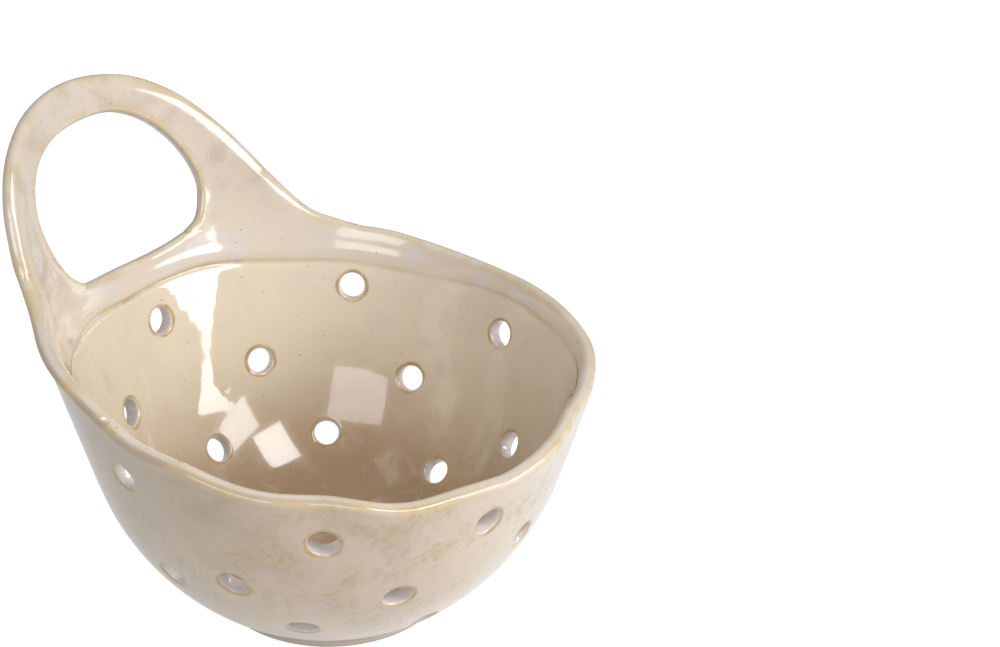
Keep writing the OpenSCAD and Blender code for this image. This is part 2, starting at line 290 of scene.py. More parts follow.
class Clay:
    """Where the clay's two skins lie, for a turn and a height."""

    def __init__(self, sizes):
        self.s = sizes
        lean = sizes.flare_lean
        self.slope = math.tan(lean)
        self.belly_x = self.flare(sizes.flare_z) - sizes.belly_r * math.cos(lean)
        self.belly_z = sizes.flare_z + sizes.belly_r * math.sin(lean)
        self.low_lean = math.asin((self.belly_z - sizes.foot_z) / sizes.belly_r)
        self.foot_r = self.belly_x + sizes.belly_r * math.cos(self.low_lean)
        self.floor_run = self.foot_r - sizes.hole / 2
        self.belly_run = sizes.belly_r * (self.low_lean - lean)
        self.sheet_r = sizes.seam_r + 3 * MM
        self.lines = self.edge_lines()

    def flare(self, z):
        return self.s.seam_r + self.slope * (z - self.s.seam_z)

    def lean(self, z):
        """Angle of the wall's outward normal below level."""
        low = np.arcsin(np.clip((self.belly_z - z) / self.s.belly_r, -1, 1))
        return np.maximum(self.s.flare_lean, low)

    def radius(self, z):
        drop = self.belly_z - np.minimum(z, self.s.flare_z)
        belly = self.belly_x + np.sqrt(self.s.belly_r ** 2 - drop ** 2)
        return np.where(z > self.s.flare_z, self.flare(z), belly)

    def run_at(self, z):
        """Distance along the outside from the middle hole out to the foot and up to a height."""
        belly = self.s.belly_r * (self.low_lean - self.lean(z))
        return self.floor_run + belly + np.maximum(0, z - self.s.flare_z) / math.cos(self.s.flare_lean)

    def height_at(self, run):
        """Height on the outside after a run past the foot."""
        up = run - self.floor_run
        lean = self.low_lean - np.minimum(up, self.belly_run) / self.s.belly_r
        belly = self.belly_z - self.s.belly_r * np.sin(lean)
        return belly + np.maximum(0, up - self.belly_run) * math.cos(self.s.flare_lean)

    def seat(self, turn):
        """Height of the plane on which the handle's feet sit."""
        tilt = np.cos(np.radians(np.asarray(turn) - HIGH_TURN))
        return self.s.seam_z + self.s.slant * tilt + self.s.seat_h

    def seam(self, turn):
        """Height of the seam, brought out from the inside to the outside."""
        return smooth_line(SEAM, turn, 360) * MM - self.s.wall * math.sin(self.s.flare_lean)

    def top(self, turn):
        """Height of the collar's top edge, which runs straight under the handle's feet."""
        a = near_zero(turn)
        lip = smooth_line(LIP, a, 360)
        sill = smooth_line(SILL, np.clip(a, SILL[0][0], SILL[-1][0]))
        right = np.interp(a, RIGHT_FOOT, (STRAP[0][1], STRAP[0][3]))
        left = np.interp(a, LEFT_FOOT, (STRAP[-1][3], STRAP[-1][1]))
        z = np.where((a > LEFT_FOOT[1]) & (a < RIGHT_FOOT[0]), sill, lip)
        z = np.where((a >= RIGHT_FOOT[0]) & (a <= RIGHT_FOOT[1]), right, z)
        z = np.where((a >= LEFT_FOOT[0]) & (a <= LEFT_FOOT[1]), left, z)
        return z * MM - self.s.lip / 2 * math.sin(self.s.flare_lean)

    def strap_line(self, first, places):
        """Turns and heights along the opening (first 0) or the outline (first 2) of the handle."""
        steps = list(range(len(STRAP)))
        turn = smooth_line([(i, STRAP[i][first]) for i in steps], places)
        z = smooth_line([(i, STRAP[i][first + 1]) for i in steps], places)
        return turn, z * MM - self.s.lip / 2 * math.sin(self.s.flare_lean)

    def flat(self, turn, z):
        """The sheet rolled out flat: distance round and distance up the flare."""
        return self.sheet_r * np.radians(turn), np.asarray(z) / math.cos(self.s.flare_lean)

    def edge_lines(self):
        """The clay's bare edges rolled out flat: lip, handle's outline, its opening and the sill."""
        places = np.linspace(0, len(STRAP) - 1, HANDLE_STEPS * (len(STRAP) - 1) + 1)
        high = np.linspace(RIGHT_FOOT[1], LIP_END, LIP_STEPS)
        low = np.linspace(-LIP_END, LEFT_FOOT[0], LIP_STEPS)
        sill = np.linspace(LEFT_FOOT[1], RIGHT_FOOT[0], SILL_STEPS)
        return [
            self.flat(high, self.top(high)), self.flat(low, self.top(low)),
            self.flat(*self.strap_line(2, places)), self.flat(*self.strap_line(0, places)),
            self.flat(sill, self.top(sill + 1e-9)),
        ]

    def edge_gap(self, turn, z, lines=slice(None)):
        """Distance in the sheet to the nearest bare edge."""
        x, y = self.flat(near_zero(turn), z)
        gap = np.full(np.shape(x), 1.0)
        for xs, ys in self.lines[lines]:
            for x0, y0, x1, y1 in zip(xs, ys, xs[1:], ys[1:]):
                dx, dy = x1 - x0, y1 - y0
                t = np.clip(((x - x0) * dx + (y - y0) * dy) / max(dx * dx + dy * dy, 1e-12), 0, 1)
                gap = np.minimum(gap, np.hypot(x - x0 - t * dx, y - y0 - t * dy))
        return gap

    def thickness(self, turn, z):
        """Thickness of the wall, which thins to the lip and thickens again to the strap."""
        over = ramp(z - self.seam(turn), 0, self.s.thin_h)
        strap = ramp(z - self.seat(turn), 0, self.s.thicken_h)
        return self.s.wall + (self.s.lip - self.s.wall) * over + (self.s.strap - self.s.lip) * strap

    def push(self, turn, z):
        """Thumb marks, and the thrown wall's slow wobble of three lobes and five smaller ones."""
        total = np.zeros(np.shape(z))
        for at, half, out, reach in THUMBS:
            beside = np.exp(-(near_zero(turn - at) / half) ** 2)
            total += out * MM * beside * smoothstep(1 - (self.top(turn) - z) / (reach * MM))
        a = np.radians(turn)
        rise = z / self.s.seam_z
        three = np.sin(3 * a + 1.3) * np.sin(2.6 * rise + 0.4)
        five = 0.6 * np.sin(5 * a - 0.7 + 2.1 * rise)
        return total + self.s.wobble * (three + five) * smoothstep(rise * 3)

    def inside_marks(self, turn, z):
        """How far the seam's groove, ledge and swell move the inner skin inward."""
        a = near_zero(turn)
        above = (z - self.seam(turn)) / MM
        clear = MARKS_LEFT + (1 - MARKS_LEFT) * ramp(a, *MARKS_GROW)
        soft = ramp(a, *GROOVE_SOFTENS) * (a < SHARP_AGAIN)
        width = GROOVE_WIDTHS[0] + (GROOVE_WIDTHS[1] - GROOVE_WIDTHS[0]) * soft
        groove = self.s.groove * (1 - (1 - SOFT_DEPTH) * soft) * np.exp(-(above / width) ** 2)
        ledge = self.s.ledge * ramp(above, *LEDGE_RISES) * ramp(above, *LEDGE_FALLS)
        swell = self.s.swell * np.exp(-((a - SWELL_TURN) / SWELL_HALF) ** 2)
        swell = swell * ramp(z / MM, *SWELL_RISES) * ramp(z / MM, *SWELL_FALLS)
        return clear * (ledge - groove) + swell

    def skin(self, turn, z, side):
        """Points of the outside where side is 0 and of the inside where it is 1."""
        half = self.thickness(turn, z) / 2
        gap = np.minimum(self.edge_gap(turn, z), self.s.edge_round)
        outer = self.edge_gap(turn, z, OUTLINE_LINES)
        strap = ramp(z - self.seat(turn), 0, self.s.thicken_h)
        left = 1 - gap / self.s.edge_round
        strap_thin = self.s.taper * strap * np.clip(1 - outer / self.s.taper_w, 0, 1) ** 2
        lip_thin = self.s.lip_taper * (1 - strap) * side * np.clip(1 - outer / self.s.lip_taper_w, 0, 1) ** 2
        plump = half * (1 - strap_thin - lip_thin)
        full = (plump - np.minimum(plump, self.s.edge_round) * (1 - np.sqrt(1 - left ** 2))) / half
        marks = self.inside_marks(turn, z) * smoothstep(gap / self.s.edge_round)
        depth = half * (1 + np.where(side > 0.5, full, -full)) + np.where(side > 0.5, marks, 0)
        lean = self.lean(z)
        r = self.radius(z) + self.push(turn, z) - depth * np.cos(lean)
        a = np.radians(turn)
        lift = ramp(z - self.seat(turn), 0, self.s.flatten_h)
        x = r * np.sin(a)
        y = r * np.cos(a) + self.s.flatten * lift * r * (1 - np.cos(a))
        return np.stack([x, y, z + depth * np.sin(lean)], -1)

    def coved(self, up):
        """A height inside, lifted off the floor where the cove joins the floor and the wall."""
        floor_z = self.s.foot_z + self.s.wall
        near = np.maximum(0, self.s.cove - abs(up - floor_z))
        return np.maximum(up, floor_z) + near ** 2 / (4 * self.s.cove)

    def wall(self, turn, z, side):
        """The skins of the wall below the collar, with the cove between the floor and the wall."""
        lean = self.lean(z)
        depth = self.s.wall * side + np.where(side > 0.5, self.inside_marks(turn, z), 0)
        r = self.radius(z) + self.push(turn, z) - depth * np.cos(lean)
        up = z + depth * np.sin(lean)
        return around(turn, r, np.where(side > 0.5, self.coved(up), up))

    def floor(self, turn, run, side):
        """The floor from its middle hole out to the foot."""
        r = self.s.hole / 2 + run
        near = ramp(run, self.floor_run - self.s.floor_blend, self.floor_run)
        r = r - np.where(side > 0.5, near * self.s.wall * math.cos(self.low_lean), 0)
        inner_r = self.s.belly_r - self.s.wall
        arc = self.belly_z - np.sqrt(inner_r ** 2 - (r - self.belly_x) ** 2)
        return around(turn, r, np.where(side > 0.5, self.coved(arc), self.s.foot_z))

    def bowl(self, turn, run, side):
        """Floor and wall in one, for a run from the middle hole."""
        wall = self.wall(turn, self.height_at(np.maximum(run, self.floor_run)), side)
        floor = self.floor(turn, np.minimum(run, self.floor_run), side)
        return np.where((run > self.floor_run)[..., None], wall, floor)

    def normals(self, place, turn, z, side):
        """Outward normals of a skin, from two small steps along it."""
        small_turn = 0.02
        small_rise = 0.01 * MM
        round_step = place(turn + small_turn, z, side) - place(turn - small_turn, z, side)
        up_step = place(turn, z + small_rise, side) - place(turn, z - small_rise, side)
        n = np.cross(up_step, round_step) * np.where(side > 0.5, -1, 1)[:, None]
        return n / np.linalg.norm(n, axis=1)[:, None]

    def smoothed(self, normals, turn, z, side, gap):
        """Normals changed where a sponge evened the strap's face and left a dent beside it."""
        a = np.radians(turn)
        level, upward = math.cos(self.s.face_lean), math.sin(self.s.face_lean)
        face = np.stack([-level * np.sin(a), -level * np.cos(a), np.full(len(a), upward)], -1)
        strap = ramp((z - self.seat(turn)) / MM, *FACE_RISES) * ramp(gap / MM, *FACE_IN)
        normals = normals + (face - normals) * (strap * side)[:, None]
        heights, lefts, rights = np.array(DENT).T
        a = near_zero(turn)
        left = np.interp(z / MM, heights, lefts)
        right = np.interp(z / MM, heights, rights)
        dent = ramp(a, left - DENT_SOFT, left + DENT_SOFT) * ramp(a, right + DENT_SOFT, right - DENT_SOFT)
        dent = dent * ramp(z / MM, heights[0], heights[0] + DENT_FOOT)
        dent = dent * (z < self.seam(turn) - DENT_END * MM)
        normals[:, 2] += math.tan(self.s.dent_tilt) * dent * side
        return normals / np.linalg.norm(normals, axis=1)[:, None]


def sheet(turn, rise, joint, place, cut=None):
    """A two-sided sheet of clay, put in place, whose points keep where they came from."""
    columns, rows = turn.shape[0] - 1, turn.shape[1] - 1
    bm = bmesh.new()
    bmesh.ops.create_grid(bm, x_segments=columns, y_segments=rows, size=1)
    layers = {name: bm.verts.layers.float.new(name) for name in SAVED}
    drop = []
    for v in bm.verts:
        i = round((v.co.x + 1) / 2 * columns)
        j = round((v.co.y + 1) / 2 * rows)
        v[layers["turn"]] = turn[i, j]
        v[layers["rise"]] = rise[i, j]
        v[layers["joint"]] = joint[i, j]
        if cut is not None and cut[i, j]:
            drop.append(v)
    bmesh.ops.delete(bm, geom=drop, context="VERTS")
    bmesh.ops.solidify(bm, geom=list(bm.faces), thickness=SHEET_T)
    for v in bm.verts:
        v[layers["side"]] = float(abs(v.co.z) > SHEET_T / 2)
    *where, _ = read(bm, layers)
    for v, point in zip(bm.verts, place(*where)):
        v.co = point
    return bm, layers


def read(bm, layers):
    """The kept values of all points as arrays."""
    return [np.array([v[layers[name]] for v in bm.verts]) for name in SAVED]


def roll_up(bm, layers, first, last):
    """Joins the first and last columns of a sheet that goes all the way round."""
    def at(v, column):
        return abs(v[layers["turn"]] - column) < 0.01

    walls = [f for f in bm.faces if any(all(at(v, column) for v in f.verts) for column in (first, last))]
    bmesh.ops.delete(bm, geom=walls, context="FACES")
    ends = [v for v in bm.verts if at(v, first) or at(v, last)]
    bmesh.ops.remove_doubles(bm, verts=ends, dist=MERGE)


def add_object(name, bm):
    """A new object in the scene with the bmesh's faces."""
    mesh = bpy.data.meshes.new(name)
    bm.to_mesh(mesh)
    bm.free()
    piece = bpy.data.objects.new(name, mesh)
    bpy.context.scene.collection.objects.link(piece)
    return piece


def vectors(items, field):
    """One vector of every item, as rows of an array."""
    values = np.empty(len(items) * 3)
    items.foreach_get(field, values)
    return values.reshape(-1, 3)


def finish_piece(name, bm, layers, clay, place, nodes, hole_places=()):
    """Turns a bmesh into a shown piece with its edge, hole and inside attributes."""
    bmesh.ops.recalc_face_normals(bm, faces=bm.faces)
    turn, rise, side, joint = read(bm, layers)
    for f in bm.faces:
        f.smooth = True
    piece = add_object(name, bm)
    mesh = piece.data
    for kept in SAVED:
        mesh.attributes.remove(mesh.attributes[kept])
    z = clay.height_at(rise) if place == clay.wall else rise
    gap = np.minimum(clay.edge_gap(turn, z), EDGE_REACH * MM)
    over_seam = np.clip((z - clay.seam(turn)) / MM, -SEAM_REACH, SEAM_REACH)
    for key, values in {"edge": gap / MM, "inside": side, "seam": over_seam}.items():
        add_attribute(mesh, key, "FLOAT", "value", values)
    offsets = hole_offsets(vectors(mesh.vertices, "co"), hole_places)
    add_attribute(mesh, "hole", "FLOAT_VECTOR", "vector", offsets)
    normals = vectors(mesh.vertex_normals, "vector")
    at = joint > 0.5
    normals[at] = clay.normals(place, turn[at], z[at], side[at])
    normals = clay.smoothed(normals, turn, z, side, gap)
    mesh.normals_split_custom_set_from_vertices([tuple(n) for n in normals])
    mesh.materials.append(glaze())
    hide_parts(*nodes)
    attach(piece, "root")
    return piece


def add_attribute(mesh, name, kind, field, values):
    layer = mesh.attributes.new(name, kind, "POINT")
    layer.data.foreach_set(field, np.asarray(values, np.float32).ravel())


def hole_offsets(points, hole_places):
    """Offset in millimetres from the nearest drain hole's axis, and 1 near it fading to 0."""
    best = np.full(len(points), 1.0)
    offset = np.zeros((len(points), 3))
    for centre, normal in hole_places:
        along = np.cross(normal, (0, 0, 1)) if abs(normal[2]) < 0.95 else np.array((1.0, 0, 0))
        along = along / np.linalg.norm(along)
        upward = np.cross(along, normal)
        away = points - centre
        far = np.linalg.norm(away, axis=1)
        closer = far < best
        best[closer] = far[closer]
        offset[closer, 0] = (away @ along)[closer] / MM
        offset[closer, 1] = (away @ upward)[closer] / MM
    offset[:, 2] = 1 - ramp(best / MM, *HOLE_REACH)
    return offset


def drill(turn, rise, cut, clay, at_turn, at_rise, block, grow):
    """Draws the grid in round one hole and marks the points inside it for removal."""
    i0 = int(np.argmin(abs(turn[:, 0] - at_turn)))
    j0 = int(np.argmin(abs(rise[i0] - at_rise)))
    wide = block[0] + grow[0] * DRILL_RINGS
    high = block[1] + grow[1] * DRILL_RINGS
    z = clay.height_at(max(at_rise, clay.floor_run))
    across = clay.radius(z) if at_rise > clay.floor_run else clay.s.hole / 2 + at_rise
    degree = math.radians(1) * float(across)
    for i in range(i0 - wide + 1, i0 + wide):
        for j in range(j0 - high + 1, j0 + high):
            di, dj = i - i0, j - j0
            if abs(di) < block[0] and abs(dj) < block[1]:
                cut[i, j] = True
                continue
            ring = max((abs(di) - block[0]) / grow[0], (abs(dj) - block[1]) / grow[1], 0)
            u = di / (block[0] + ring * grow[0])
            v = dj / (block[1] + ring * grow[1])
            if abs(u) >= abs(v):
                way = math.pi / 4 * v / u + (math.pi if u < 0 else 0)
            else:
                way = math.pi / 2 - math.pi / 4 * u / v + (math.pi if v < 0 else 0)
            r = clay.s.hole / 2 + ring * clay.s.pitch
            keep = smoothstep(ring / DRILL_RINGS)
            turn[i, j] = keep * turn[i, j] + (1 - keep) * (at_turn + r * math.cos(way) / degree)
            rise[i, j] = keep * rise[i, j] + (1 - keep) * (at_rise + r * math.sin(way))


class STONEWARE_OT_add_bowl(bpy.types.Operator):
    """The thrown bowl: a sheet of floor and wall, drilled flat and rolled up round its middle hole"""
    bl_idname = "stoneware.add_bowl"
    bl_label = "Bowl"

    def execute(self, context):
        sizes = context.scene.colander_sizes
        clay = Clay(sizes)
        turns = OPEN_TURN + 360 * np.arange(sizes.columns + 1) / sizes.columns
        floor = np.linspace(0, clay.floor_run, round(clay.floor_run / sizes.pitch) + 1)
        near_top = np.array(SEAM_ROWS[::-1]) * MM
        seam = clay.run_at(clay.seam(turns))
        count = round((clay.run_at(sizes.seam_z) - clay.floor_run) / sizes.pitch)
        steps = np.arange(1, count + 1) / count
        wall = clay.floor_run + steps * (seam[:, None] - 2 * sizes.pitch - clay.floor_run)
        rise = np.concatenate([np.tile(floor, (len(turns), 1)), wall, seam[:, None] - near_top], axis=1)
        turn = np.tile(turns[:, None], (1, rise.shape[1]))
        joint = np.zeros(rise.shape)
        joint[:, -1] = 1
        cut = np.zeros(rise.shape, bool)
        places = [(around(0, 0, sizes.foot_z), DOWN)]
        for at_turn, z in HOLES:
            at = (at_turn - OPEN_TURN) % 360 + OPEN_TURN
            drill(turn, rise, cut, clay, at, float(clay.run_at(z * MM)), WALL_BLOCK, WALL_GROW)
            places.append(axis_at(clay, at_turn, z * MM))
        for k in range(sizes.floor_holes):
            at = FLOOR_TURN + 360 * k / sizes.floor_holes
            drill(turn, rise, cut, clay, at, sizes.floor_ring - sizes.hole / 2, FLOOR_BLOCK, FLOOR_GROW)
            places.append((around(at, sizes.floor_ring, sizes.foot_z), DOWN))
        bm, layers = sheet(turn, rise, joint, clay.bowl, cut)
        roll_up(bm, layers, OPEN_TURN, OPEN_TURN + 360)
        rims = hole_rims(bm, layers)
        bmesh.ops.bevel(
            bm, geom=rims, offset=sizes.hole_round, segments=3, profile=0.5, affect="EDGES", material=-1
        )
        finish_piece("bowl", bm, layers, clay, clay.wall, ("bowl_wall", "bowl_floor"), places)
        return {"FINISHED"}


def axis_at(clay, turn, z):
    """Centre of a drain hole on the outside and the wall's outward normal there."""
    lean = float(clay.lean(z))
    centre = around(turn, float(clay.radius(z)), z)
    return centre, around(turn, math.cos(lean), -math.sin(lean))


def hole_rims(bm, layers):
    """Edges between a skin and the wall of a hole."""
    rims = []
    for e in bm.edges:
        if len(e.link_faces) != 2 or e.verts[0][layers["side"]] != e.verts[1][layers["side"]]:
            continue
        if e.verts[0][layers["joint"]] > 0.5:
            continue
        through = [len({v[layers["side"]] for v in f.verts}) == 2 for f in e.link_faces]
        if any(through) and not all(through):
            rims.append(e)
    return rims


class STONEWARE_OT_add_collar(bpy.types.Operator):
    """The luted collar: a band from the seam up to the lip, cut straight under the handle's feet"""
    bl_idname = "stoneware.add_collar"
    bl_label = "Collar"

    def execute(self, context):
        sizes = context.scene.colander_sizes
        clay = Clay(sizes)
        first = -180.0
        turns = first + 360 * np.arange(sizes.columns + 1) / sizes.columns
        low, high = clay.seam(turns), clay.top(turns)
        tall = (high - low)[:, None]
        squeeze = np.minimum(1, tall / (ROOM_FOR_ROWS * MM))
        start = low[:, None] + np.array(SEAM_ROWS) * MM * squeeze
        end = high[:, None] - np.array(EDGE_ROWS[::-1]) * MM * squeeze
        steps = np.arange(1, COLLAR_ROWS) / COLLAR_ROWS
        middle = start[:, -1:] + steps * (end[:, :1] - start[:, -1:])
        rise = np.concatenate([start, middle, end], axis=1)
        turn = np.tile(turns[:, None], (1, rise.shape[1]))
        joint = np.zeros(rise.shape)
        joint[:, 0] = 1
        for left, right in (LEFT_FOOT, RIGHT_FOOT):
            joint[(turns > left) & (turns < right), -1] = 1
        bm, layers = sheet(turn, rise, joint, clay.skin)
        roll_up(bm, layers, first, first + 360)
        finish_piece("rim_collar_glazed", bm, layers, clay, clay.skin, ("rim_collar",))
        return {"FINISHED"}


class STONEWARE_OT_add_handle(bpy.types.Operator):
    """The loop handle: a strap from its right foot over the top to its left foot"""
    bl_idname = "stoneware.add_handle"
    bl_label = "Handle"

    def execute(self, context):
        sizes = context.scene.colander_sizes
        clay = Clay(sizes)
        places = np.linspace(0, len(STRAP) - 1, STRAP_STEPS * (len(STRAP) - 1) + 1)
        in_turn, in_z = clay.strap_line(0, places)
        out_turn, out_z = clay.strap_line(2, places)
        x0, y0 = clay.flat(in_turn, in_z)
        x1, y1 = clay.flat(out_turn, out_z)
        wide = np.hypot(x1 - x0, y1 - y0)[:, None]
        border = np.array(EDGE_ROWS) * MM / wide
        steps = np.arange(1, STRAP_ROWS) / STRAP_ROWS
        middle = border[:, -1:] + steps * (1 - 2 * border[:, -1:])
        across = np.concatenate([border, middle, 1 - border[:, ::-1]], axis=1)
        turn = in_turn[:, None] + (out_turn - in_turn)[:, None] * across
        rise = in_z[:, None] + (out_z - in_z)[:, None] * across
        joint = np.zeros(rise.shape)
        joint[[0, -1], 1:-1] = 1
        bm, layers = sheet(turn, rise, joint, clay.skin)
        finish_piece("loop_handle", bm, layers, clay, clay.skin, ("handle_loop",))
        return {"FINISHED"}


class STONEWARE_OT_add_foot(bpy.types.Operator):
    """The bare foot ring, spun from its section with softened edges"""
    bl_idname = "stoneware.add_foot"
    bl_label = "Foot ring"

    def execute(self, context):
        sizes = context.scene.colander_sizes
        clay = Clay(sizes)
        bm = bmesh.new()
        outer, inner = clay.foot_r, clay.foot_r - sizes.foot_w
        corners = [(inner, sizes.foot_z), (inner, 0), (outer, 0), (outer, sizes.foot_z)]
        verts = [bm.verts.new((r, 0, z)) for r, z in corners]
        edges = [bm.edges.new((verts[k], verts[(k + 1) % 4])) for k in range(4)]
        bmesh.ops.spin(
            bm, geom=verts + edges, cent=(0, 0, 0), axis=(0, 0, 1), dvec=(0, 0, 0),
            angle=math.tau, steps=FOOT_STEPS, use_merge=True, use_duplicate=False
        )
        bmesh.ops.remove_doubles(bm, verts=bm.verts, dist=MERGE)
        bmesh.ops.recalc_face_normals(bm, faces=bm.faces)
        bottom = [e for e in bm.edges if all(abs(v.co.z) < 0.1 * MM for v in e.verts)]
        bottom = [e for e in bottom if abs(e.verts[0].co.xy.length - e.verts[1].co.xy.length) < 0.1 * MM]
        bmesh.ops.bevel(
            bm, geom=bottom, offset=sizes.foot_round, segments=4, profile=0.5, affect="EDGES", material=-1
        )
        for f in bm.faces:
            f.smooth = True
        piece = add_object("foot", bm)
        piece.data.materials.append(bare_clay(clay.foot_r))
        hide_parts("foot_ring")
        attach(piece, "root")
        return {"FINISHED"}


class Value:
    """A shader socket that Python's operators work on."""

    def __init__(self, tree, socket):
        self.tree = tree
        self.socket = socket

    def math(self, operation, *others):
        node = self.tree.nodes.new("ShaderNodeMath")
        node.operation = operation
        for socket, value in zip(node.inputs, (self, *others)):
            feed(self.tree, socket, value)
        return Value(self.tree, node.outputs[0])

    def __add__(self, other):
        return self.math("ADD", other)

    __radd__ = __add__

    def __sub__(self, other):
        return self.math("SUBTRACT", other)

    def __rsub__(self, other):
        return self * -1 + other

    def __mul__(self, other):
        return self.math("MULTIPLY", other)


def feed(tree, socket, value):
    """Links a value to a socket, or sets the socket to a number or a colour."""
    if isinstance(value, Value):
        tree.links.new(value.socket, socket)
    elif isinstance(value, (int, float)):
        socket.default_value = value
    else:
        socket.default_value = (*value, 1)


class Shader:
    """Builds one material's nodes."""

    def __init__(self, name):
        self.material = bpy.data.materials.new(name)
        self.material.use_nodes = True
        self.tree = self.material.node_tree
        self.tree.nodes.clear()

    def node(self, kind, sockets=(), output=0, **settings):
        """Any node, by its type, settings and the values of its sockets by name or number."""
        node = self.tree.nodes.new(kind)
        for name, value in settings.items():
            setattr(node, name, value)
        for key, value in dict(sockets).items():
            feed(self.tree, node.inputs[key], value)
        return Value(self.tree, node.outputs[output])

    def step(self, value, low, high):
        """0 below low, 1 above high and smooth between them."""
        sockets = {"Value": value, "From Min": low, "From Max": high}
        return self.node("ShaderNodeMapRange", sockets, interpolation_type="SMOOTHSTEP")

    def band(self, value, low, high, soft):
        """1 between low and high."""
        return self.step(value, low - soft, low) * (1 - self.step(value, high, high + soft))

    def noise(self, place, scale, detail=3, rough=0.5, warp=0):
        sockets = {"Vector": place, "Scale": scale, "Detail": detail, "Roughness": rough, "Distortion": warp}
        return self.node("ShaderNodeTexNoise", sockets)

    def blend(self, amount, under, over):
        """A colour that goes from under to over."""
        return self.node("ShaderNodeMix", {0: amount, 6: under, 7: over}, output=2, data_type="RGBA")

    def layers(self, under, layers):
        """A colour with others laid over it in turn, each by its own amount."""
        for amount, over in layers:
            under = self.blend(amount, under, over)
        return under

    def attribute(self, name, output="Fac"):
        return self.node("ShaderNodeAttribute", attribute_name=name, output=output)

    def split(self, vector):
        """The three parts of a vector."""
        node = self.tree.nodes.new("ShaderNodeSeparateXYZ")
        feed(self.tree, node.inputs[0], vector)
        return [Value(self.tree, socket) for socket in node.outputs]

    def surface(self, **sockets):
        """A Principled surface, whose names use underscores for spaces."""
        values = {name.replace("_", " "): value for name, value in sockets.items()}
        self.show(self.node("ShaderNodeBsdfPrincipled", values))
        return self.material

    def show(self, shader):
        """Makes a shader the one that is seen."""
        out = self.tree.nodes.new("ShaderNodeOutputMaterial")
        feed(self.tree, out.inputs[0], shader)


class GlazeFields:
    """What the glaze depends on: places in metres, distances in millimetres and clouds."""

    def __init__(self, sh):
        self.place = sh.node("ShaderNodeTexCoord", output="Object")
        x, y, self.z = sh.split(self.place)
        self.inside = sh.attribute("inside")
        self.edge = sh.attribute("edge")
        self.seam = sh.attribute("seam")
        hx, hy, self.near_hole = sh.split(sh.attribute("hole", "Vector"))
        self.hole_r = (hx * hx + hy * hy).math("SQRT")
        # Sides as the camera sees them, across which painted shade and painted light are laid
        self.rightward = x * math.cos(CAMERA_HEADING) - y * math.sin(CAMERA_HEADING)
        self.leftward = 1 - sh.step(self.rightward, -0.06, 0.02)
        self.clouds = sh.noise(self.place, 24, detail=4, rough=0.55, warp=0.6)
        self.drift = sh.noise(self.place, 75, detail=4, rough=0.6, warp=0.3)
        self.grain = sh.noise(self.place, 420, detail=3, rough=0.6)


def glaze():
    """The glossy reactive glaze on the bowl, the collar and the handle."""
    if "glossy_glaze" in bpy.data.materials:
        return bpy.data.materials["glossy_glaze"]
    c = bpy.context.scene.colander_colours
    sh = Shader("glossy_glaze")
    f = GlazeFields(sh)
    within = sh.layers(c.cream_and_light, inner_glaze(sh, c, f))
    without = sh.layers(c.bisque, outer_glaze(sh, c, f))
    base = sh.blend(f.inside, without, within)
    for marks in (strap_and_seam, thin_edges, hole_marks, specks):
        base = sh.layers(base, marks(sh, c, f))
    rough = 0.14 + (f.drift - 0.5) * 0.1 + (1 - f.inside) * 0.1
    bump_height = f.drift * 0.6 + f.grain * 0.08
    bump = sh.node("ShaderNodeBump", {"Strength": 0.35, "Distance": 0.0004, "Height": bump_height})
    return sh.surface(
        Base_Color=base, Roughness=rough, Normal=bump, IOR=1.52, Coat_Weight=1.0, Coat_Roughness=0.03,
        Coat_IOR=1.5,
    )


def inner_glaze(sh, c, f):
    """Pinkish clouds, painted shade that greys the inside toward the right, and brown at the floor that is
    both pooled glaze and painted shade.
    """
    rightward = f.rightward + (f.clouds - 0.5) * 0.05
    pooled_and_shaded = 1 - sh.step(f.z + (f.clouds - 0.5) * 0.025, 0.01, 0.06)
    return [
        (sh.step(f.drift, 0.48, 0.7) * 0.45, c.blush),
        # painted shade: grey-tan toward the right side of the inside
        (sh.step(rightward, -0.02, 0.08) * 0.27, c.mist_and_shade),
        (f.leftward * 0.16, c.straw),
        # brown at the floor: glaze pooled there, and painted shade in the bowl's bottom
        (pooled_and_shaded * 0.92, c.pool),
        (pooled_and_shaded * sh.step(f.drift, 0.5, 0.72) * 0.3, c.cream_and_light),
    ]


def outer_glaze(sh, c, f):
    """Grey haze with painted shade on the left side, painted light in cream on the right side, straw clouds
    and olive mottling.
    """
    haze = sh.step(f.clouds + (f.drift - 0.5) * 0.6, 0.44, 0.7)
    high = sh.step(f.z, 0.045, 0.075)
    tan = sh.step(f.drift + (f.grain - 0.5) * 0.3, 0.46, 0.64) * sh.step(f.clouds, 0.36, 0.56)
    return [
        # grey haze, and painted shade on the left side, strongest near the top
        (haze * (0.3 + high * 0.25) + f.leftward * (0.2 + high * 0.5), c.mist_and_shade),
        # painted light: the right side lighter in cream
        (sh.step(f.rightward, 0.02, 0.075) * 0.55, c.cream_and_light),
        (tan * 0.42, c.straw),
        (sh.step(f.grain, 0.42, 0.62) * (0.12 + haze * 0.38), c.olive),
    ]


def strap_and_seam(sh, c, f):
    """The pinkish collar and strap, milky clouds over the seam and the thin crease in it."""
    strap = sh.step(f.z, 0.095, 0.11)
    collar = sh.step(f.seam, 0.2, 2.5) * f.inside
    milk = sh.step(f.drift + (f.clouds - 0.5) * 0.6, 0.46, 0.66) * sh.band(f.seam, 0.8, 9, 3)
    crease = sh.band(f.seam, -0.35, 0.45, 0.7) * f.inside
    return [
        ((collar * 0.6).math("MAXIMUM", strap * 0.8), c.blush),
        (strap * (0.12 + sh.step(f.drift, 0.45, 0.65) * 0.3), c.mist_and_shade),
        (milk * f.inside * 0.7, c.lilac),
        (crease * (0.2 + sh.step(f.clouds, 0.42, 0.58) * 0.4), c.straw),
        (crease * f.leftward * sh.step(f.drift, 0.42, 0.6) * 0.35, c.stone),
    ]


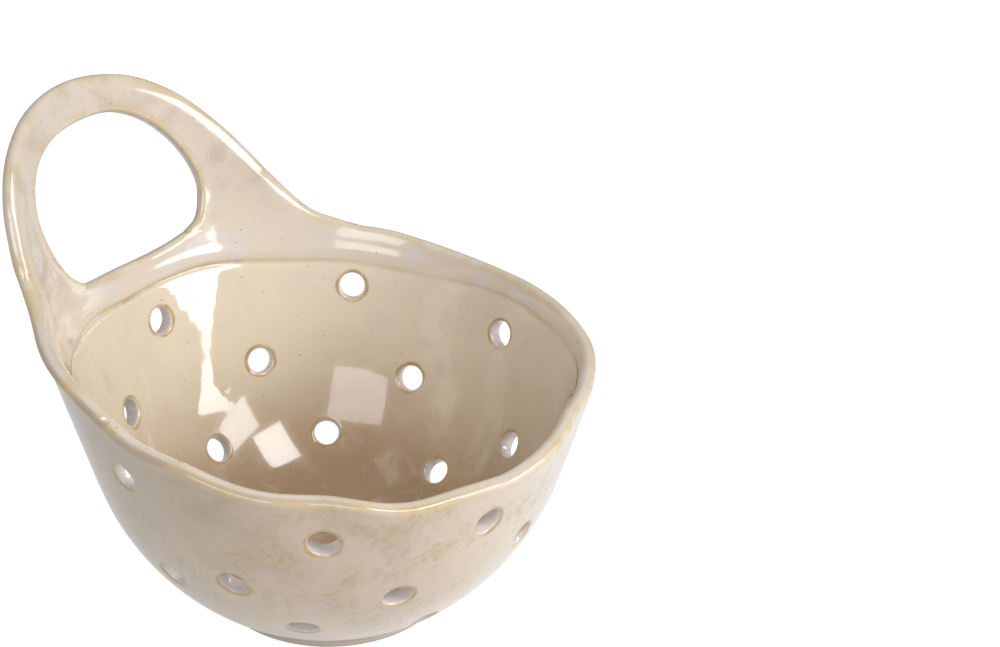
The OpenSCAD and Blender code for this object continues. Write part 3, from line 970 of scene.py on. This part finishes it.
def thin_edges(sh, c, f):
    """Straw and rust where the glaze runs thin along the lip and the handle's edges."""
    wander = (f.drift - 0.5) * 3
    wide = 1 - sh.step(f.edge + wander, 0.6, 5)
    line = sh.band(f.edge + wander * 0.6, 0.9, 1.9, 0.9)
    return [
        (wide * sh.step(f.drift, 0.42, 0.62) * 0.5, c.straw),
        (line * sh.step(f.clouds, 0.4, 0.6) * 0.55, c.straw),
        (line * sh.step(f.clouds + (f.grain - 0.5) * 0.4, 0.58, 0.7) * 0.45, c.rust),
    ]


def hole_marks(sh, c, f):
    """An uneven amber ring in a straw glow round each drain hole, and milky glaze in its bore."""
    bore = bpy.context.scene.colander_sizes.hole / 2 / MM
    thin = (f.drift - 0.5) * 1.4
    uneven = sh.step(sh.noise(f.place, 110, detail=2), 0.38, 0.62)
    ring = sh.band(f.hole_r + thin, bore + 0.3, bore + 0.6 + uneven * 0.5, 0.45)
    glow = sh.step(f.hole_r, bore + 0.1, bore + 0.4) * (1 - sh.step(f.hole_r, bore + 0.6, bore + 2.4))
    lining = 1 - sh.step(f.hole_r, bore + 0.05, bore + 0.35)
    return [
        (glow * f.near_hole * 0.3, c.straw),
        (ring * f.near_hole * (0.28 + uneven * 0.5), c.amber),
        (lining * f.near_hole * 0.75, c.lilac),
    ]


def specks(sh, c, f):
    """Rare dark specks of iron."""
    speck = sh.step(sh.noise(f.place, 1100, detail=0), 0.76, 0.8)
    rare = sh.step(sh.noise(f.place, 190, detail=1), 0.6, 0.66)
    return [(speck * rare * 0.7, c.stone)]


def bare_clay(outer_r):
    """The unglazed, slightly sandy clay of the foot, with glaze run down its outside."""
    c = bpy.context.scene.colander_colours
    sh = Shader("foot_clay")
    place = sh.node("ShaderNodeTexCoord", output="Object")
    x, y, z = sh.split(place)
    sand = sh.noise(place, 1200, detail=2)
    stain = sh.noise(place, 50, detail=3)
    clay = sh.blend(sh.step(stain, 0.4, 0.7) * 0.5, c.clay, c.straw)
    clay = sh.blend(sh.step(sand, 0.56, 0.72) * 0.4, clay, c.stone)
    r = (x * x + y * y).math("SQRT")
    outside = sh.step(r, outer_r - 1.1 * MM, outer_r - 0.5 * MM)
    run = outside * sh.step(z + (stain - 0.5) * 0.002, 0.0002, 0.0008)
    glazed = sh.blend(sh.step(stain, 0.45, 0.7) * 0.3, c.blush, c.mist_and_shade)
    base = sh.blend(run, clay, glazed)
    bump = sh.node("ShaderNodeBump", {"Strength": 0.4, "Distance": 0.0003, "Height": sand * (1 - run)})
    return sh.surface(Base_Color=base, Roughness=0.82 - run * 0.6, Normal=bump)


class STONEWARE_OT_add_stage(bpy.types.Operator):
    """The pale floor, the soft lamps, the plain world and the camera"""
    bl_idname = "stoneware.add_stage"
    bl_label = "Stage"

    def execute(self, context):
        scene = context.scene
        scene.view_settings.view_transform = "Standard"
        floor = add_floor()
        add_world(scene)
        for lamp in LAMPS:
            add_lamp(*lamp)
        add_camera(scene)
        return {"FINISHED"}


def add_floor():
    """A wide pale floor that stays white to the camera but keeps the shadow."""
    bm = bmesh.new()
    bmesh.ops.create_grid(bm, x_segments=1, y_segments=1, size=6)
    floor = add_object("floor", bm)
    sh = Shader("pale_floor")
    tree = sh.tree
    rays = tree.nodes.new("ShaderNodeLightPath")
    glossy = Value(tree, rays.outputs["Is Glossy Ray"])
    seen = (Value(tree, rays.outputs["Is Camera Ray"]) + glossy * GLOW_IN_GLAZE).math("MINIMUM", 1)
    bsdf = sh.node("ShaderNodeBsdfPrincipled", {"Base Color": (FLOOR_GREY,) * 3, "Roughness": 0.9})
    glow = sh.node("ShaderNodeEmission", {"Strength": FLOOR_GLOW})
    both = sh.node("ShaderNodeAddShader", {0: bsdf, 1: glow})
    sh.show(sh.node("ShaderNodeMixShader", {0: seen, 1: bsdf, 2: both}))
    floor.data.materials.append(sh.material)
    return floor


def add_world(scene):
    """An even pale world that is white to the camera."""
    world = bpy.data.worlds.new("studio")
    scene.world = world
    world.use_nodes = True
    tree = world.node_tree
    tree.nodes.clear()
    rays = tree.nodes.new("ShaderNodeLightPath")
    seen = Value(tree, rays.outputs["Is Camera Ray"]) + Value(tree, rays.outputs["Is Transmission Ray"])
    back = tree.nodes.new("ShaderNodeBackground")
    out = tree.nodes.new("ShaderNodeOutputWorld")
    feed(tree, back.inputs["Strength"], WORLD_LIGHT + seen.math("MINIMUM", 1) * (1 - WORLD_LIGHT))
    tree.links.new(back.outputs[0], out.inputs[0])


def add_lamp(name, place, target, wide, high, power):
    """A rectangular soft lamp that faces the target."""
    data = bpy.data.lights.new(name, "AREA")
    data.shape = "RECTANGLE"
    data.size = wide
    data.size_y = high
    data.energy = power
    lamp = bpy.data.objects.new(name, data)
    away = Vector(place) - Vector(target)
    lamp.matrix_world = Matrix.Translation(place) @ away.to_track_quat("Z", "Y").to_matrix().to_4x4()
    bpy.context.scene.collection.objects.link(lamp)


def add_camera(scene):
    """The camera at the photograph's angle, with its slight tilt."""
    place = Vector(CAMERA_PLACE) * MM
    level = Vector((math.sin(CAMERA_HEADING), math.cos(CAMERA_HEADING), 0))
    look = level * math.cos(CAMERA_DIP) - Vector((0, 0, math.sin(CAMERA_DIP)))
    flat_right = Vector((level.y, -level.x, 0))
    flat_up = flat_right.cross(look)
    right = flat_right * math.cos(CAMERA_TILT) + flat_up * math.sin(CAMERA_TILT)
    up = flat_up * math.cos(CAMERA_TILT) - flat_right * math.sin(CAMERA_TILT)
    data = bpy.data.cameras.new("photo_camera")
    data.lens = CAMERA_LENS
    data.sensor_width = CAMERA_SENSOR
    data.clip_start = 0.01
    camera = bpy.data.objects.new("photo_camera", data)
    camera.matrix_world = Matrix.Translation(place) @ Matrix((right, up, -look)).transposed().to_4x4()
    scene.collection.objects.link(camera)
    scene.camera = camera


class STONEWARE_PT_panel(bpy.types.Panel):
    """Sizes, colours and the steps that make the bowl"""
    bl_idname = "STONEWARE_PT_panel"
    bl_label = "Berry Colander Bowl"
    bl_space_type = "VIEW_3D"
    bl_region_type = "UI"
    bl_category = "Stoneware"

    def draw(self, context):
        for group in (context.scene.colander_sizes, context.scene.colander_colours):
            for name in group.bl_rna.properties.keys():
                if name not in {"rna_type", "name"}:
                    self.layout.prop(group, name)
        for step in STEPS:
            self.layout.operator(step.bl_idname)


STEPS = (
    STONEWARE_OT_add_bowl, STONEWARE_OT_add_collar, STONEWARE_OT_add_handle, STONEWARE_OT_add_foot,
    STONEWARE_OT_add_stage,
)
CLASSES = (ColanderSizes, ColanderColours, *STEPS, STONEWARE_PT_panel)


def register():
    for cls in CLASSES:
        bpy.utils.register_class(cls)
    bpy.types.Scene.colander_sizes = bpy.props.PointerProperty(type=ColanderSizes)
    bpy.types.Scene.colander_colours = bpy.props.PointerProperty(type=ColanderColours)


def unregister():
    del bpy.types.Scene.colander_colours
    del bpy.types.Scene.colander_sizes
    for cls in reversed(CLASSES):
        bpy.utils.unregister_class(cls)


def main():
    register()
    bpy.ops.stoneware.add_bowl()
    bpy.ops.stoneware.add_collar()
    bpy.ops.stoneware.add_handle()
    bpy.ops.stoneware.add_foot()
    bpy.ops.stoneware.add_stage()


if __name__ == "__main__":
    main()
